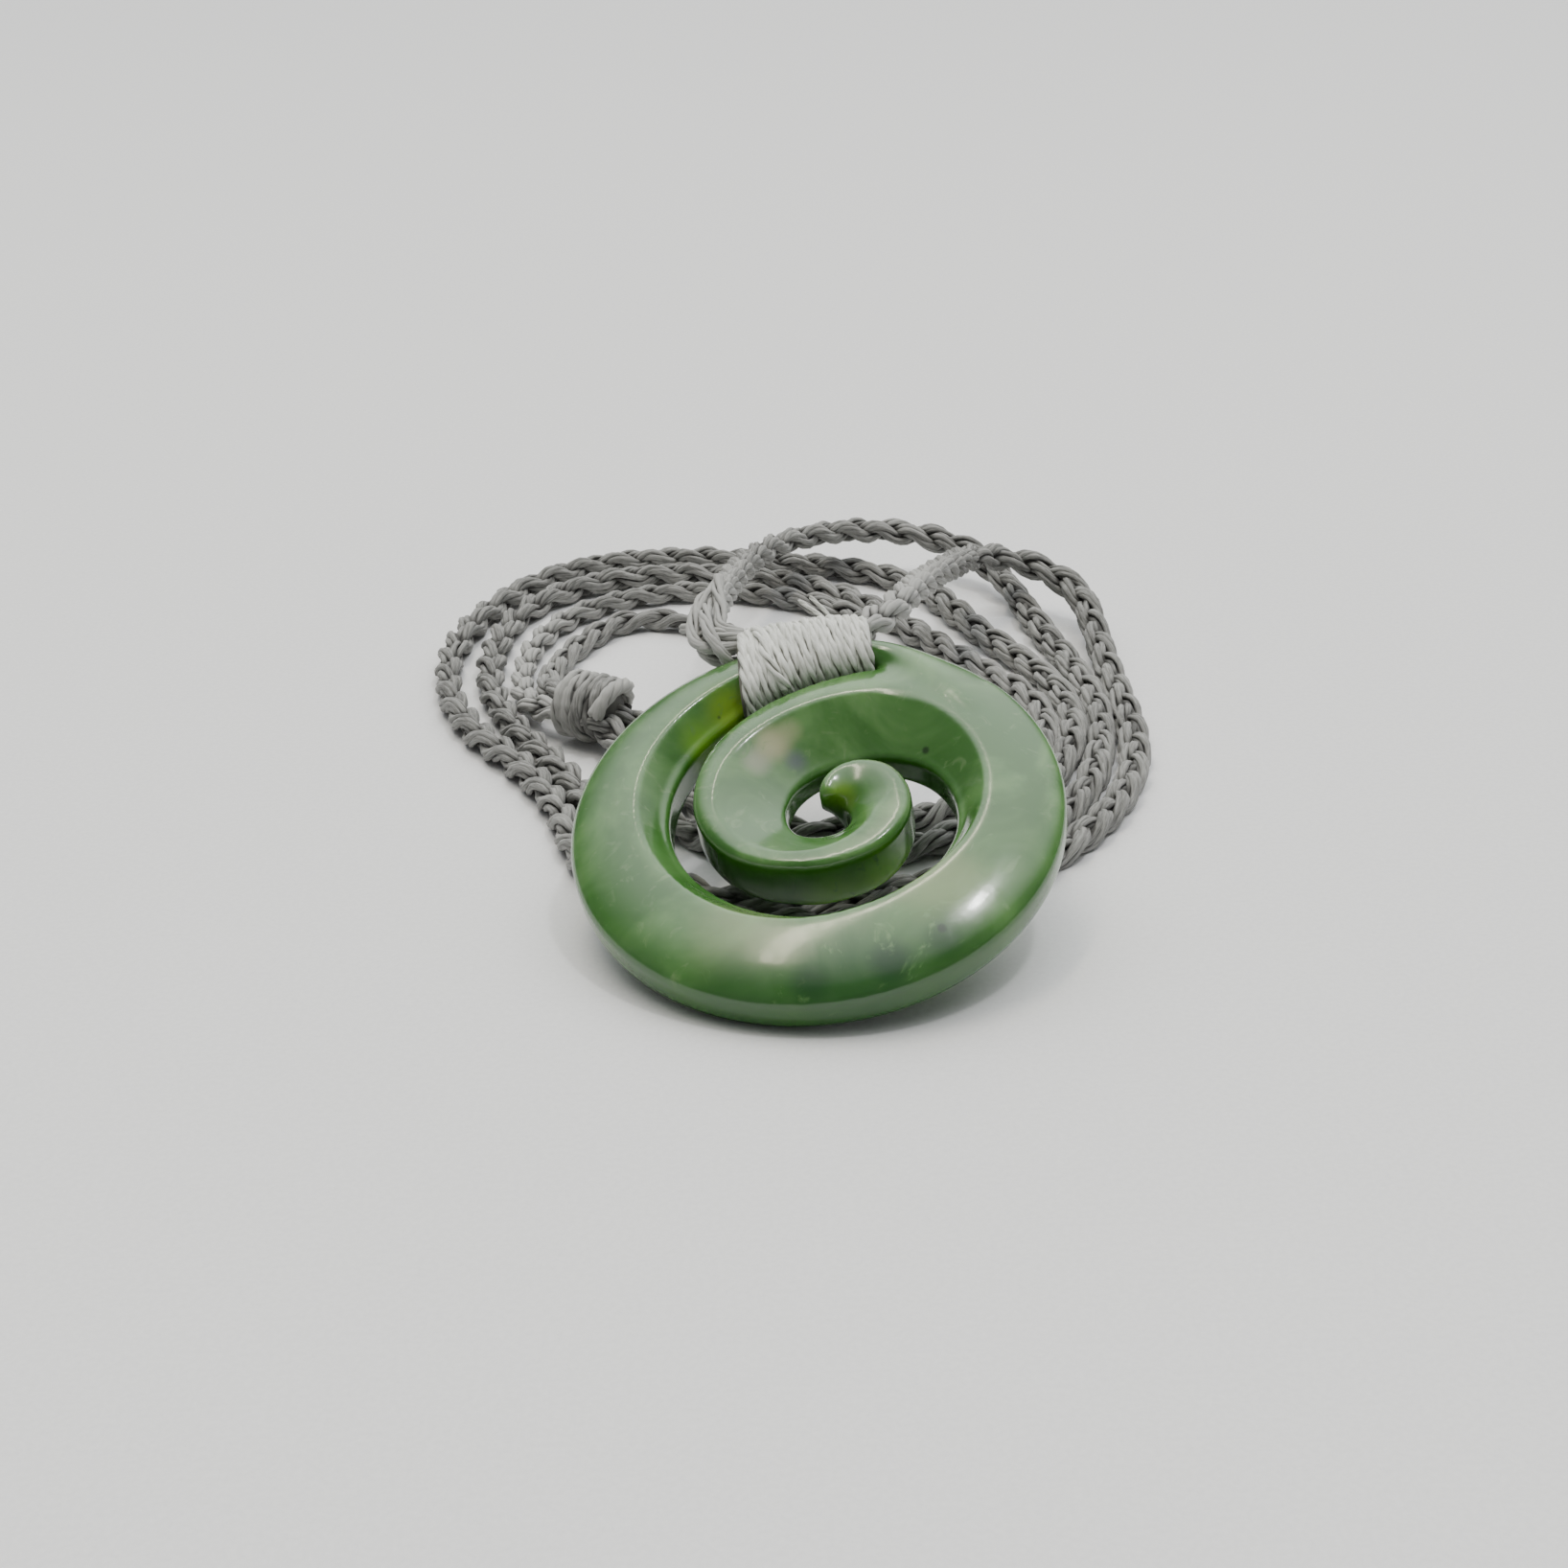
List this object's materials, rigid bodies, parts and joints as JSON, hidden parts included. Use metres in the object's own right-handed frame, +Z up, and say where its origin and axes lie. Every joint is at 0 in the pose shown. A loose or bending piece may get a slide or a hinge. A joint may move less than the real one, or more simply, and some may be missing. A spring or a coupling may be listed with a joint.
{
  "type": "koru pendant necklace",
  "caption": "Polished green stone spiral pendant, lashed at its upper edge with wound thread to a long plaited cord that lies coiled behind it.",
  "frame": {"origin": "centre of the box round the stone and its lashing, at the height of the surface that it lies on", "axes": "+X across the stone to the viewer's right, +Y away from the viewer towards the coiled cord, +Z up"},
  "size_m": [0.069, 0.1043, 0.0201],
  "materials": {
    "greenstone": "polished nephrite, slightly translucent, with cloudy veins and a few dark specks",
    "thread": "pale grey waxed thread, wound side by side",
    "plait": "mid grey waxed cord, plaited from three twisted strands"
  },
  "bodies": {
    "root": {"koru": "greenstone", "lashing": "thread", "side_knot": "plait", "cord_left": "plait", "cord_right": "plait", "slide_knot": "plait", "tie_loop": "plait"}
  },
  "joints": []
}
